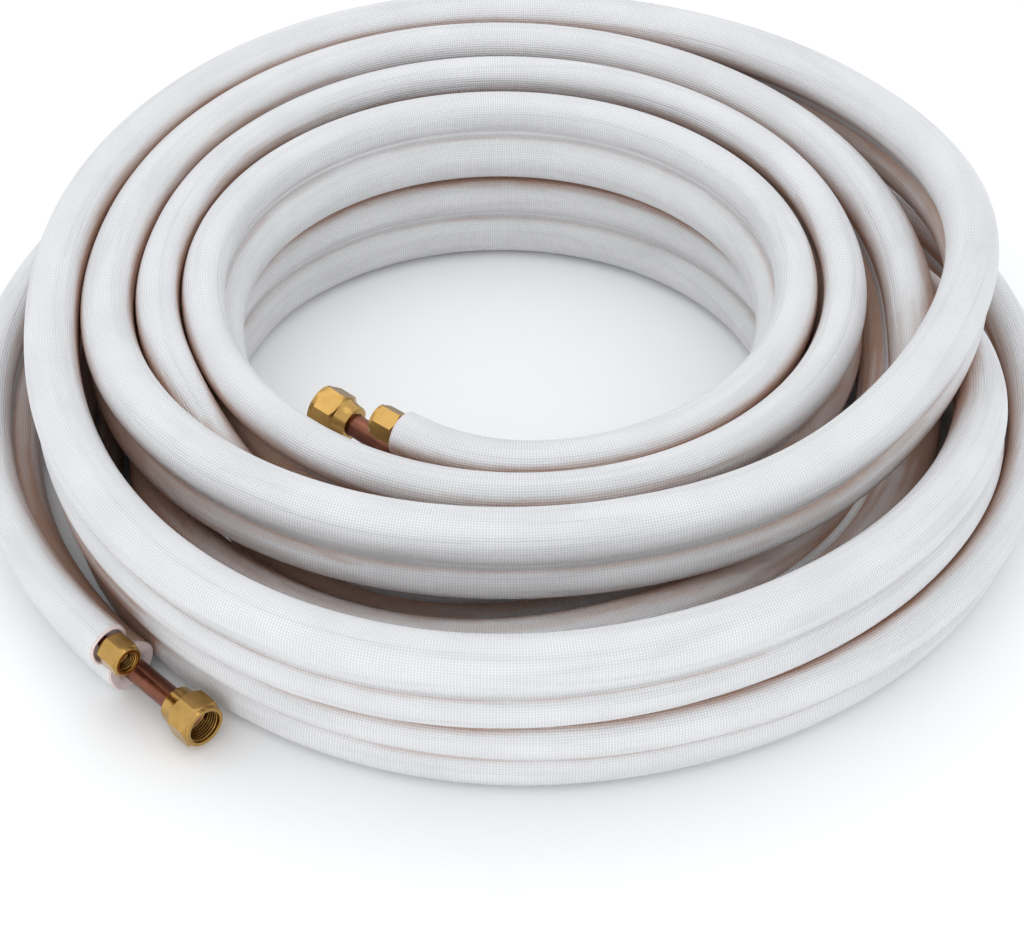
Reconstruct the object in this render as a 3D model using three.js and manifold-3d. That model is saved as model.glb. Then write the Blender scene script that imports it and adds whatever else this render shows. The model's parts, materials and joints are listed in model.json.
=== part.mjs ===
// Insulated twin line set: a liquid line and a suction line of soft copper, each in its own foam
// sleeve, wound side by side as one pair into a loose coil of seven turns in two tiers, with a brass
// flare nut on each of the four pipe ends. Millimetres, +Z up, the coil's axis on Z, floor at z = 0.

import * as THREE from 'three';
import { mergeVertices } from 'three/addons/utils/BufferGeometryUtils.js';
import Module from 'manifold-3d';

const wasm = await Module();
wasm.setup();

// Driving dimensions of the two lines.
const liquid = {
  tubeOutside: 6.35, // quarter inch copper
  tubeWall: 0.8,
  foamWall: 8.6,
  bareLength: 0.8, // copper showing between the sleeve's end and the nut
  nutAcrossFlats: 17,
  nutHexLength: 15,
  nutNeckLength: 0.8,
  nutNeckDiameter: 14.5,
  threadBore: 10.2,
};
const suction = {
  tubeOutside: 12.7, // half inch copper
  tubeWall: 0.8,
  foamWall: 8.1,
  bareLength: 38,
  nutAcrossFlats: 24,
  nutHexLength: 16,
  nutNeckLength: 8,
  nutNeckDiameter: 20.5,
  threadBore: 17.8,
};
const foamSlip = 0.4; // room between the copper and its sleeve, all round
const nutRunningGap = 0.35; // room between a nut and the copper it turns on
const pairSeam = 1; // between the two sleeves of the pair
const turnGap = 1.4; // least room between neighbouring turns
const tierGap = 0.9; // between the lower and the upper tier

// Driving dimensions of the coil.
const innermostRadius = 165; // to the seam of the innermost pair
const stationsPerTurn = 18;
const firstStation = 250; // winding angle of the inner end, degrees, anticlockwise from +X
const sleeveSides = 10;
const tubeSides = 8;
const boreSides = 6;
const nutSegments = 18;

// Shares that shape the nuts and the flares.
const boreFlatShare = 0.9; // a six-sided bore as wide as the round one is narrower across its flats
const flareFill = 0.9; // how much of the room in the nut's bore the flare takes up
const seatShare = 0.45; // how far into the nut the flare's seat lies, from the rear
const rimShare = 0.96; // the nut's turned faces against its width across flats
const neckChamfer = 0.8;
const threadChamfer = 0.7;
const samePlace = 0.01;

// The winding, as laid by hand from the inner end to the outer end. Each row: the winding angle in
// degrees, the lane (0 is the innermost, 1 is one pair further out), the tier (0 is on the floor,
// 1 is on top of the lower tier) and the roll of the pair: -90 has the suction line underneath,
// 90 has it on top, 0 has it outside.
const windingPlan = [
  // First turn: innermost, upper tier, its free end sprung a little inwards and up.
  [250, -0.62, 1.12, -108],
  [270, -0.18, 1.03, -105],
  [300, 0, 1, -104],
  [360, 0.1, 1, -104],
  [450, 0.22, 1, -104],
  [540, 0.1, 1, -104],
  // Second turn: beside it, then down to the floor.
  [630, 0.8, 1, -96],
  [720, 1.08, 1, -96],
  [810, 1.75, 1, -94],
  [900, 1.1, 1, -92],
  [920, 1.15, 1.1, -90],
  [940, 1.27, 0.75, -90],
  [960, 1.33, 0.27, -90],
  // Third turn: innermost on the floor, then out towards the edge.
  [990, 0.85, 0, -90],
  [1080, 0.22, 0, -90],
  [1170, 0, 0, -90],
  [1255, 0.25, 0, -90],
  [1275, 1.22, 0, -90],
  [1290, 2.03, 0, -90],
  [1305, 2.38, 0, -90],
  [1320, 2.65, 0, -90],
  // Fourth turn: up to the upper tier, the pair rolling over as it climbs.
  [1350, 2.95, 0.1, -85],
  [1395, 2.9, 0.45, -20],
  [1440, 2.3, 1, 58],
  [1530, 3.25, 1, 85],
  [1620, 1.95, 1, 90],
  [1660, 2.0, 1.12, 90],
  // Fifth turn: beside the second in front, then over the sixth and out to the edge.
  [1710, 1.9, 1.08, 90],
  [1755, 2.5, 1.2, 90],
  [1785, 2.95, 1.37, 90],
  [1800, 3.3, 1.36, 90],
  [1830, 3.75, 1.15, 90],
  [1890, 4.1, 1, 90],
  [1980, 2.8, 1, 90],
  // Sixth turn: widest in front, then down under the fifth and rolling back.
  [2070, 4.95, 1, 90],
  [2100, 4.75, 0.97, 91],
  [2130, 4.3, 0.85, 95],
  [2145, 3.9, 0.65, 100],
  [2160, 3.5, 0.4, 107],
  [2190, 2.9, 0.05, 120],
  [2250, 2.2, 0, 180],
  [2340, 2.45, 0, 242],
  [2385, 3.65, 0, 251],
  // Seventh turn: on the floor at the outer edge, with the suction line tucked in.
  [2430, 4.7, 0, 249],
  [2475, 4.85, 0, 247],
  [2505, 4.75, 0, 248],
  [2520, 4.6, 0, 250],
  [2610, 3.95, 0, 255],
  [2680, 4.0, 0, 248],
  [2710, 4.1, 0, 245],
  [2750, 4.65, 0, 242],
];

// Sizes that follow.
for (const line of [liquid, suction]) {
  line.tubeRadius = line.tubeOutside / 2;
  line.boreRadius = line.tubeRadius - line.tubeWall;
  line.sleeveBore = line.tubeRadius + foamSlip;
  line.sleeveRadius = line.sleeveBore + line.foamWall;
  line.flat = line.sleeveRadius * Math.cos(Math.PI / sleeveSides);
}
const pairHeight = 2 * (liquid.flat + suction.flat) + pairSeam;
const tierHeight = pairHeight + tierGap;
const lanePitch = liquid.sleeveRadius + suction.sleeveRadius + turnGap;
const stationAngle = 360 / stationsPerTurn;
const lastStation = windingPlan[windingPlan.length - 1][0];

// Slope at each waypoint of a plan's column: flat at a peak, gentle elsewhere, so that the curve
// between two waypoints never swings past them.
function waypointSlopes(angles, values) {
  const rise = values.slice(1).map((v, i) => (v - values[i]) / (angles[i + 1] - angles[i]));
  return values.map((_, i) => {
    if (i === 0) return rise[0];
    if (i === values.length - 1) return rise[rise.length - 1];
    if (rise[i - 1] * rise[i] <= 0) return 0;
    const before = angles[i] - angles[i - 1];
    const after = angles[i + 1] - angles[i];
    const w1 = 2 * after + before;
    const w2 = after + 2 * before;
    return (w1 + w2) / (w1 / rise[i - 1] + w2 / rise[i]);
  });
}

function planColumn(column) {
  const angles = windingPlan.map((row) => row[0]);
  const values = windingPlan.map((row) => row[column]);
  const slopes = waypointSlopes(angles, values);
  return (angle) => {
    let i = 0;
    while (i < angles.length - 2 && angle > angles[i + 1]) i += 1;
    const span = angles[i + 1] - angles[i];
    const t = (angle - angles[i]) / span;
    const t2 = t * t;
    const t3 = t2 * t;
    return (
      (2 * t3 - 3 * t2 + 1) * values[i] +
      (t3 - 2 * t2 + t) * span * slopes[i] +
      (3 * t2 - 2 * t3) * values[i + 1] +
      (t3 - t2) * span * slopes[i + 1]
    );
  };
}

// How far a sleeve's lowest corner lies under its centre, for a section rolled with the pair.
function depthBelow(line, roll) {
  let depth = 0;
  for (let side = 0; side < sleeveSides; side += 1) {
    const corner = roll + ((2 * side + 1) * Math.PI) / sleeveSides;
    depth = Math.max(depth, -line.sleeveRadius * Math.sin(corner));
  }
  return depth;
}

// A pipe that passes an upright plane at a slant shows there as an ellipse. This is how much longer
// the ellipse is along a direction, for the path's lean: how far it runs outwards and upwards.
function slantStretch(lean, direction) {
  const along = lean[0] * direction[0] + lean[1] * direction[1];
  return 1 / Math.sqrt(1 - along * along);
}

// How far the path runs outwards and upwards for each millimetre of its length.
function leanAt(places, i) {
  const before = places[Math.max(i - 1, 0)];
  const after = places[Math.min(i + 1, places.length - 1)];
  const around = THREE.MathUtils.degToRad(stationAngle) * places[i][0];
  const steps = places[i + 1] && places[i - 1] ? 2 : 1;
  const run = [after[0] - before[0], after[1] - before[1]];
  const length = Math.hypot(run[0], run[1], steps * around);
  return run.map((c) => c / length);
}

// Each station is a place of the pair in the upright plane at its winding angle: the seam's radius
// and height, with the offsets of both sleeves from it.
function plannedStations() {
  const lane = planColumn(1);
  const tier = planColumn(2);
  const roll = planColumn(3);
  const angles = [];
  for (let angle = firstStation; angle <= lastStation; angle += stationAngle) angles.push(angle);
  const laid = angles.map((angle) => [innermostRadius + lane(angle) * lanePitch, tier(angle) * tierHeight]);
  return angles.map((angle, i) => {
    const turned = THREE.MathUtils.degToRad(roll(angle));
    const towards = [Math.cos(turned), Math.sin(turned)];
    const lean = leanAt(laid, i);
    const stretch = slantStretch(lean, towards);
    const offset = {
      liquid: towards.map((c) => -c * (liquid.flat + pairSeam / 2) * stretch),
      suction: towards.map((c) => c * (suction.flat + pairSeam / 2) * stretch),
    };
    const lowest = Math.min(
      offset.liquid[1] - depthBelow(liquid, turned),
      offset.suction[1] - depthBelow(suction, turned),
    );
    const planned = [laid[i][0], laid[i][1] - lowest];
    return { angle, roll: turned, lean, offset, lowest, onFloor: tier(angle) === 0, planned, place: planned };
  });
}

const linesOfPair = [
  ['liquid', liquid],
  ['suction', suction],
];

// Turns that pass the same upright plane push each other apart until every sleeve has its room.
function pushApart(one, other) {
  for (const [nameA, lineA] of linesOfPair) {
    for (const [nameB, lineB] of linesOfPair) {
      const away = [0, 1].map(
        (k) => other.place[k] + other.offset[nameB][k] - one.place[k] - one.offset[nameA][k],
      );
      const apart = Math.hypot(away[0], away[1]);
      const direction = away.map((c) => c / apart);
      const needed =
        lineA.sleeveRadius * slantStretch(one.lean, direction) +
        lineB.sleeveRadius * slantStretch(other.lean, direction) +
        turnGap;
      if (apart >= needed) continue;
      for (const k of [0, 1]) {
        const push = ((needed - apart) * away[k]) / apart / 4;
        one.move[k] -= push;
        other.move[k] += push;
      }
    }
  }
}

function evenOut(stations) {
  const shift = stations.map((s) => [0, 1].map((k) => s.place[k] - s.planned[k]));
  for (let i = 1; i < stations.length - 1; i += 1) {
    for (const k of [0, 1]) {
      const bend = shift[i - 1][k] - 2 * shift[i][k] + shift[i + 1][k];
      stations[i].place[k] = stations[i].planned[k] + shift[i][k] + bend / 4;
    }
  }
}

function settleTurns(stations, rounds = 80) {
  for (let round = 0; round < rounds; round += 1) {
    for (const station of stations) station.move = [0, 0];
    for (let i = 0; i < stations.length; i += 1) {
      for (let j = i + stationsPerTurn; j < stations.length; j += stationsPerTurn) {
        pushApart(stations[i], stations[j]);
      }
    }
    for (const station of stations) {
      station.place = station.place.map((c, k) => c + station.move[k]);
      station.place[1] = Math.max(station.place[1], -station.lowest);
    }
    if (round < rounds * 0.75) evenOut(stations);
    for (const station of stations) {
      if (station.onFloor) station.place[1] = station.planned[1];
    }
  }
  return stations;
}

// The centre line of one sleeve: a point and a direction at each station.
function centreLine(stations, name) {
  const polar = stations.map((s) => [0, 1].map((k) => s.place[k] + s.offset[name][k]));
  const step = THREE.MathUtils.degToRad(stationAngle);
  return stations.map((station, i) => {
    const [radius, height] = polar[i];
    const last = polar.length - 1;
    const slope = [0, 1].map((k) => {
      if (i === 0) return (4 * polar[1][k] - 3 * polar[0][k] - polar[2][k]) / (2 * step);
      if (i === last) return (3 * polar[last][k] - 4 * polar[last - 1][k] + polar[last - 2][k]) / (2 * step);
      return (polar[i + 1][k] - polar[i - 1][k]) / (2 * step);
    });
    const a = THREE.MathUtils.degToRad(station.angle);
    const outward = new THREE.Vector3(Math.cos(a), Math.sin(a), 0);
    const along = new THREE.Vector3(-Math.sin(a), Math.cos(a), 0);
    return {
      point: outward.clone().multiplyScalar(radius).setZ(height),
      direction: along.multiplyScalar(radius).addScaledVector(outward, slope[0]).setZ(slope[1]).normalize(),
      roll: station.roll,
    };
  });
}

// A path through given points whose sections stand square to it and roll with the pair.
class RolledPath extends THREE.Curve {
  constructor(knots) {
    super();
    this.knots = knots;
  }

  getPoint(t) {
    return this.knots[Math.round(t * (this.knots.length - 1))].point.clone();
  }

  getSpacedPoints() {
    return this.knots.map((knot) => knot.point.clone());
  }

  computeFrenetFrames() {
    const up = new THREE.Vector3(0, 0, 1);
    const tangents = this.knots.map((knot) => knot.direction.clone());
    const inward = tangents.map((t) => up.clone().cross(t).normalize());
    const raised = tangents.map((t, i) => t.clone().cross(inward[i]));
    const turn = this.knots.map((knot) => -knot.roll);
    const mix = (i, c, s) => inward[i].clone().multiplyScalar(c).addScaledVector(raised[i], s);
    const normals = turn.map((r, i) => mix(i, Math.cos(r), Math.sin(r)));
    const binormals = turn.map((r, i) => mix(i, -Math.sin(r), Math.cos(r)));
    return { tangents, normals, binormals };
  }
}

function polygonPath(target, radius, sides) {
  for (let side = 0; side < sides; side += 1) {
    const corner = ((2 * side + 1) * Math.PI) / sides;
    const x = radius * Math.cos(corner);
    const y = radius * Math.sin(corner);
    if (side === 0) target.moveTo(x, y);
    else target.lineTo(x, y);
  }
  target.closePath();
  return target;
}

// A pipe or sleeve: a ring section carried along a path. The bore's flats clear what runs in it.
function sweptRing(knots, outerRadius, outerSides, boreFlat, boreCornerSides) {
  const section = polygonPath(new THREE.Shape(), outerRadius, outerSides);
  const boreRadius = boreFlat / Math.cos(Math.PI / boreCornerSides);
  section.holes.push(polygonPath(new THREE.Path(), boreRadius, boreCornerSides));
  return new THREE.ExtrudeGeometry(section, {
    steps: knots.length - 1,
    extrudePath: new RolledPath(knots),
    bevelEnabled: false,
  });
}

// The straight stretch past one end of the pair: where its sleeve ends, which way it points.
function endOf(knots, whichEnd) {
  const knot = whichEnd === 'inner' ? knots[0] : knots[knots.length - 1];
  const sign = whichEnd === 'inner' ? -1 : 1;
  return { point: knot.point, knot, outward: knot.direction.clone().multiplyScalar(sign) };
}

function beyond(end, distance) {
  return end.point.clone().addScaledVector(end.outward, distance);
}

// Distances from the sleeve's end along a pipe's straight end, for the nut and the flare in it.
function endLayout(line) {
  const nutRear = line.bareLength;
  const nutFront = nutRear + line.nutNeckLength + line.nutHexLength;
  const flareWidth = (line.threadBore / 2 - nutRunningGap - line.tubeRadius) * flareFill;
  const seatDepth = (nutFront - nutRear) * seatShare;
  const flareStart = nutRear + seatDepth;
  return { nutRear, nutFront, flareWidth, seatDepth, flareStart, flareMouth: flareStart + flareWidth };
}

// The copper's last section opens out at 45 degrees, to the flare that holds the nut on.
function openFlare(geometry, line, end) {
  const layout = endLayout(line);
  const mouth = beyond(end, layout.flareMouth);
  const position = geometry.attributes.position;
  const fromMouth = new THREE.Vector3();
  for (let i = 0; i < position.count; i += 1) {
    fromMouth.fromBufferAttribute(position, i).sub(mouth);
    const inMouthPlane = Math.abs(fromMouth.dot(end.outward)) < samePlace;
    if (!inMouthPlane || fromMouth.length() > line.tubeRadius + samePlace) continue;
    fromMouth.setLength(fromMouth.length() + layout.flareWidth).add(mouth);
    position.setXYZ(i, fromMouth.x, fromMouth.y, fromMouth.z);
  }
}

function copperTube(line, knots) {
  const layout = endLayout(line);
  const inner = endOf(knots, 'inner');
  const outer = endOf(knots, 'outer');
  const stretch = (end) =>
    [layout.flareStart, layout.flareMouth].map((distance) => ({ ...end.knot, point: beyond(end, distance) }));
  const path = [...stretch(inner).reverse(), ...knots, ...stretch(outer)];
  const geometry = sweptRing(path, line.tubeRadius, tubeSides, line.boreRadius * boreFlatShare, boreSides);
  openFlare(geometry, line, inner);
  openFlare(geometry, line, outer);
  return geometry;
}

function insulation(line, knots) {
  return sweptRing(knots, line.sleeveRadius, sleeveSides, line.sleeveBore, boreSides);
}

// Turned shapes are drawn as radius and distance along the axis, and stand on the Z axis.
function turned(profile) {
  const points = profile.map(([radius, z]) => new THREE.Vector2(radius, z));
  const geometry = new THREE.LatheGeometry(points, nutSegments);
  return geometry.rotateX(Math.PI / 2);
}

function solid(geometry) {
  const bare = geometry.clone();
  bare.deleteAttribute('normal');
  bare.deleteAttribute('uv');
  const merged = mergeVertices(bare, 1e-4);
  return new wasm.Manifold(
    new wasm.Mesh({
      numProp: 3,
      vertProperties: new Float32Array(merged.attributes.position.array),
      triVerts: new Uint32Array(merged.index.array),
    }),
  );
}

function geometryOf(manifold) {
  const mesh = manifold.getMesh();
  const geometry = new THREE.BufferGeometry();
  geometry.setAttribute('position', new THREE.BufferAttribute(new Float32Array(mesh.vertProperties), 3));
  geometry.setIndex(new THREE.BufferAttribute(new Uint32Array(mesh.triVerts), 1));
  geometry.computeVertexNormals();
  return geometry;
}

// A flare nut with its rear face at z = 0 and its open, threaded face up.
function flareNut(line) {
  const layout = endLayout(line);
  const length = layout.nutFront - layout.nutRear;
  const flats = line.nutAcrossFlats / 2;
  const corners = flats / Math.cos(Math.PI / 6);
  const chamfer = corners - flats;
  const neck = line.nutNeckDiameter / 2;
  const rim = flats * rimShare;
  const envelope = turned([
    [0, 0],
    [neck - neckChamfer, 0],
    [neck, neckChamfer],
    [neck, line.nutNeckLength],
    [rim, line.nutNeckLength],
    [corners, line.nutNeckLength + chamfer],
    [corners, length - 2 * chamfer],
    [rim, length - chamfer],
    [rim, length],
    [0, length],
  ]);
  const hexagon = new THREE.ExtrudeGeometry(polygonPath(new THREE.Shape(), corners, 6), {
    depth: length + 2,
    bevelEnabled: false,
  }).translate(0, 0, -1);
  const hole = line.tubeRadius + nutRunningGap;
  const thread = line.threadBore / 2;
  const seat = layout.seatDepth - nutRunningGap;
  const bore = turned([
    [0, -1],
    [hole, -1],
    [hole, seat],
    [thread, seat + thread - hole],
    [thread, length - threadChamfer],
    [thread + threadChamfer, length],
    [thread + threadChamfer, length + 1],
    [0, length + 1],
  ]);
  return geometryOf(solid(envelope).intersect(solid(hexagon)).subtract(solid(bore)));
}

// Finishes.
const finishes = {
  foam: { color: 0xe9eaeb, roughness: 0.62, metalness: 0 },
  copper: { color: 0x8f5138, roughness: 0.42, metalness: 1 },
  brass: { color: 0xc7963f, roughness: 0.3, metalness: 1 },
};

function piece(name, geometry, finish) {
  const mesh = new THREE.Mesh(geometry, new THREE.MeshStandardMaterial(finishes[finish]));
  mesh.name = name;
  return mesh;
}

// A nut sits on its pipe's straight end, its open face away from the sleeve.
function placedNut(name, line, knots, whichEnd) {
  const end = endOf(knots, whichEnd);
  const nut = piece(name, flareNut(line), 'brass');
  nut.position.copy(beyond(end, line.bareLength));
  nut.quaternion.setFromUnitVectors(new THREE.Vector3(0, 0, 1), end.outward);
  return nut;
}

const stations = settleTurns(plannedStations());
const lineSet = new THREE.Group();
for (const [name, line] of linesOfPair) {
  const knots = centreLine(stations, name);
  lineSet.add(
    piece(`${name}_line_tube`, copperTube(line, knots), 'copper'),
    piece(`${name}_line_insulation`, insulation(line, knots), 'foam'),
    placedNut(`${name}_flare_nut_inner_end`, line, knots, 'inner'),
    placedNut(`${name}_flare_nut_outer_end`, line, knots, 'outer'),
  );
}

// The part stands on the middle of its box's underside.
const box = new THREE.Box3().setFromObject(lineSet, true);
const middle = box.getCenter(new THREE.Vector3()).setZ(box.min.z);
for (const child of lineSet.children) child.position.sub(middle);

export default lineSet;
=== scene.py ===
# %% [markdown]
# # A coil of insulated twin refrigerant line
#
# A mini split line set is two soft copper tubes that carry refrigerant between the two halves of an
# air conditioner: a thin liquid line and a thicker suction line. Each runs in its own sleeve of white
# foam, and the two sleeves lie side by side for their whole length. A brass flare nut waits on every
# tube end. The set is sold as a loose coil, and this script dresses such a coil.
#
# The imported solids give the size, the place and the motion of each piece. They come in first, and
# everything made here stays in their frame, in metres.

import json
import math

import bpy
import numpy as np
from mathutils import Matrix, Vector
from mathutils.bvhtree import BVHTree


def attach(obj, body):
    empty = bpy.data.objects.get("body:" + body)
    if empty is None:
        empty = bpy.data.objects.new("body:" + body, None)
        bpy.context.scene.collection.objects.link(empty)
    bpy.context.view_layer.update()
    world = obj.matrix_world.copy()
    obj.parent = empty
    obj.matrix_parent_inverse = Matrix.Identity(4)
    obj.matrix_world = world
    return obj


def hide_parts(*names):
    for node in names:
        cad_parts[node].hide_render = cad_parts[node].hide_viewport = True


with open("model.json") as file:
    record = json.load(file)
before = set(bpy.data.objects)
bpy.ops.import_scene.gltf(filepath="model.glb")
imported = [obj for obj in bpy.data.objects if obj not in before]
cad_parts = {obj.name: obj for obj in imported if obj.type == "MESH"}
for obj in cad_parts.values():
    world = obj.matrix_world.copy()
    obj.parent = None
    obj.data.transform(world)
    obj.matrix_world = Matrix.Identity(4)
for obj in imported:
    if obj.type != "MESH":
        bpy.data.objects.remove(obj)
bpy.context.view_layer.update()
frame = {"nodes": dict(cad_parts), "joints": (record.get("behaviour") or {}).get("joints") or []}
print("solids:", sorted(frame["nodes"]))

MM = 0.001
scene = bpy.context.scene

# %% [markdown]
# ## The camera
#
# The camera comes before the dressing, so that every test picture is framed like the photograph.
# It stands 1.6 m from the coil and looks down on it at 39 degrees through a long lens. The lens is a
# focal length in pixels of the picture, which is 1024 pixels wide, turned into millimetres on a 36 mm
# sensor. The point looked at isn't in the middle of the picture, so the camera is turned a little
# more, sideways and down, instead of being shifted.

# %% The camera
PICTURE = (1024, 935)
COIL_AXIS = Vector((-5.553, 10.295, 0)) * MM
CAMERA_RISE = math.radians(39)
CAMERA_DISTANCE = 1.6
AIM_HEIGHT = 10 * MM
SENSOR_WIDTH = 36
FOCAL_PIXELS = 2720
AIM_PIXEL = (500, 395)


def aimed_camera():
    aim = COIL_AXIS + Vector((0, 0, AIM_HEIGHT))
    back = Vector((0, -math.cos(CAMERA_RISE), math.sin(CAMERA_RISE)))
    right = Vector((1, 0, 0))
    forward = -back
    up = right.cross(forward)
    yaw = math.atan((AIM_PIXEL[0] - PICTURE[0] / 2) / FOCAL_PIXELS)
    pitch = math.atan((AIM_PIXEL[1] - PICTURE[1] / 2) / FOCAL_PIXELS)
    tipped = forward * math.cos(pitch) + up * math.sin(pitch)
    turned = tipped * math.cos(yaw) - right * math.sin(yaw)
    side = right * math.cos(yaw) + tipped * math.sin(yaw)
    top = side.cross(turned)
    camera = bpy.data.objects.new("camera", bpy.data.cameras.new("camera"))
    camera.data.sensor_width = SENSOR_WIDTH
    camera.data.lens = FOCAL_PIXELS / PICTURE[0] * SENSOR_WIDTH
    turn = Matrix((side, top, -turned)).transposed().to_4x4()
    camera.matrix_world = Matrix.Translation(aim + back * CAMERA_DISTANCE) @ turn
    scene.collection.objects.link(camera)
    scene.camera = camera
    return camera


camera = aimed_camera()
print("camera lens, mm:", round(camera.data.lens, 2))

# %% [markdown]
# ## How the coil is wound
#
# The coil is described the way a person would lay it: at a few winding angles, how far out
# the pair lies (lane), on which tier, and how the pair is rolled. Lane 0 is the innermost and lane 1
# is one pair further out. Tier 0 is on the floor. A roll of -90 has the suction line underneath, 90
# has it on top and 0 has it outside.
#
# A smooth curve through these few rows isn't yet a real coil, because the sleeves would cut into
# each other where turns cross. The next cells settle it.

# %% The winding, listed
WINDING = [
    # first turn: innermost, upper tier
    (250, -0.62, 1.12, -108),
    (270, -0.18, 1.03, -105),
    (300, 0, 1, -104),
    (360, 0.1, 1, -104),
    (450, 0.22, 1, -104),
    (540, 0.1, 1, -104),
    # second turn: beside it, then down to the floor
    (630, 0.8, 1, -96),
    (720, 1.08, 1, -96),
    (810, 1.75, 1, -94),
    (900, 1.1, 1, -92),
    (920, 1.15, 1.1, -90),
    (940, 1.27, 0.75, -90),
    (960, 1.33, 0.27, -90),
    # third turn: innermost on the floor, then outwards
    (990, 0.85, 0, -90),
    (1080, 0.22, 0, -90),
    (1170, 0, 0, -90),
    (1255, 0.25, 0, -90),
    (1275, 1.22, 0, -90),
    (1290, 2.03, 0, -90),
    (1305, 2.38, 0, -90),
    (1320, 2.65, 0, -90),
    # fourth turn: climbs as the pair rolls over
    (1350, 2.95, 0.1, -85),
    (1395, 2.9, 0.45, -20),
    (1440, 2.3, 1, 58),
    (1530, 3.25, 1, 85),
    (1620, 1.95, 1, 90),
    (1660, 2.0, 1.12, 90),
    # fifth turn: beside the second, then over the sixth
    (1710, 1.9, 1.08, 90),
    (1755, 2.5, 1.2, 90),
    (1785, 2.95, 1.37, 90),
    (1800, 3.3, 1.36, 90),
    (1830, 3.75, 1.15, 90),
    (1890, 4.1, 1, 90),
    (1980, 2.8, 1, 90),
    # sixth turn: widest in front, then down under the fifth
    (2070, 4.95, 1, 90),
    (2100, 4.75, 0.97, 91),
    (2130, 4.3, 0.85, 95),
    (2145, 3.9, 0.65, 100),
    (2160, 3.5, 0.4, 107),
    (2190, 2.9, 0.05, 120),
    (2250, 2.2, 0, 180),
    (2340, 2.45, 0, 242),
    (2385, 3.65, 0, 251),
    # seventh turn: on the floor at the outer edge
    (2430, 4.7, 0, 249),
    (2475, 4.85, 0, 247),
    (2505, 4.75, 0, 248),
    (2520, 4.6, 0, 250),
    (2610, 3.95, 0, 255),
    (2680, 4.0, 0, 248),
    (2710, 4.1, 0, 245),
    (2750, 4.65, 0, 242),
]

# %% [markdown]
# The two lines differ only in their sizes. The liquid line is quarter inch copper and the suction
# line half inch, each in about 9 mm of foam. The copper that stands bare between foam and nut, the
# nut's width across its flats, its neck and its thread are given for each line too.

# %% The two lines
PAIR_SEAM = 1 * MM
TURN_GAP = 1.4 * MM
TIER_GAP = 0.9 * MM
INNERMOST_RADIUS = 165 * MM
STATIONS_PER_TURN = 18
SLEEVE_CORNERS = 10


class Line:
    """One of the two tubes with its sleeve: radii and lengths in metres."""

    def __init__(self, name, side, tube, sleeve, bare):
        self.name = name
        self.side = side
        self.tube = tube * MM / 2
        self.sleeve = sleeve * MM / 2
        self.flat = self.sleeve * math.cos(math.pi / SLEEVE_CORNERS)
        self.bare = bare * MM

    def set_nut(self, flats, hexagon, neck_length, neck, thread, pitch):
        self.half_flats = flats * MM / 2
        self.nut = (neck_length + hexagon) * MM
        self.neck_length = neck_length * MM
        self.neck = neck * MM / 2
        self.thread = thread * MM / 2
        self.pitch = pitch * MM


liquid = Line("liquid", -1, tube=6.35, sleeve=24.35, bare=0.8)
liquid.set_nut(flats=17, hexagon=15, neck_length=0.8, neck=14.5, thread=10.2, pitch=1.27)
suction = Line("suction", 1, tube=12.7, sleeve=29.7, bare=38)
suction.set_nut(flats=24, hexagon=16, neck_length=8, neck=20.5, thread=17.8, pitch=1.5875)
lines = [liquid, suction]

pair_height = 2 * (liquid.flat + suction.flat) + PAIR_SEAM
tier_height = pair_height + TIER_GAP
lane_pitch = liquid.sleeve + suction.sleeve + TURN_GAP
print("one lane is", round(lane_pitch / MM, 2), "mm and one tier", round(tier_height / MM, 2), "mm")

# %% [markdown]
# Between two rows of the winding the values follow a curve that never swings past either of them, so
# a flat stretch stays flat. Such a curve gets its slope at each row from the harmonic mean of the
# slopes on both sides, and is level at every peak.


# %% Smooth values between the rows
def row_slopes(angles, values):
    width = np.diff(angles)
    rise = np.diff(values) / width
    slopes = np.zeros(len(values))
    slopes[0], slopes[-1] = rise[0], rise[-1]
    for i in range(1, len(values) - 1):
        if rise[i - 1] * rise[i] > 0:
            before = 2 * width[i] + width[i - 1]
            after = width[i] + 2 * width[i - 1]
            slopes[i] = (before + after) / (before / rise[i - 1] + after / rise[i])
    return slopes


def between_rows(column, at):
    angles = np.array([row[0] for row in WINDING], float)
    values = np.array([row[column] for row in WINDING], float)
    slopes = row_slopes(angles, values)
    i = np.clip(np.searchsorted(angles, at, side="left") - 1, 0, len(angles) - 2)
    span = angles[i + 1] - angles[i]
    t = (at - angles[i]) / span
    start = (2 * t**3 - 3 * t**2 + 1) * values[i] + (t**3 - 2 * t**2 + t) * span * slopes[i]
    end = (3 * t**2 - 2 * t**3) * values[i + 1] + (t**3 - t**2) * span * slopes[i + 1]
    return start + end


station_step = 360 / STATIONS_PER_TURN
station_angles = np.arange(WINDING[0][0], WINDING[-1][0] + 0.001, station_step)
print(len(station_angles), "stations,", round(np.ptp(station_angles) / 360, 2), "turns")

# %% [markdown]
# All turns share the same upright planes, one every 20 degrees. In each plane a sleeve shows as a
# circle, or as a slightly longer ellipse where the pair runs at a slant. Circles that come too close
# push each other apart, the push is evened out along the pair, and the floor holds the lowest ones.
# After 80 rounds every sleeve has its room, as in a coil that somebody has shaken down.


# %% Slanted sections and the floor
def slant_stretch(lean, direction):
    along = (lean * direction).sum(-1)
    return 1 / np.sqrt(1 - along**2)


def lean_of(laid):
    run = np.empty_like(laid)
    run[1:-1] = laid[2:] - laid[:-2]
    run[0] = laid[1] - laid[0]
    run[-1] = laid[-1] - laid[-2]
    steps = np.full(len(laid), 2.0)
    steps[[0, -1]] = 1
    around = steps * math.radians(station_step) * laid[:, 0]
    return run / np.sqrt((run**2).sum(1) + around**2)[:, None]


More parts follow.
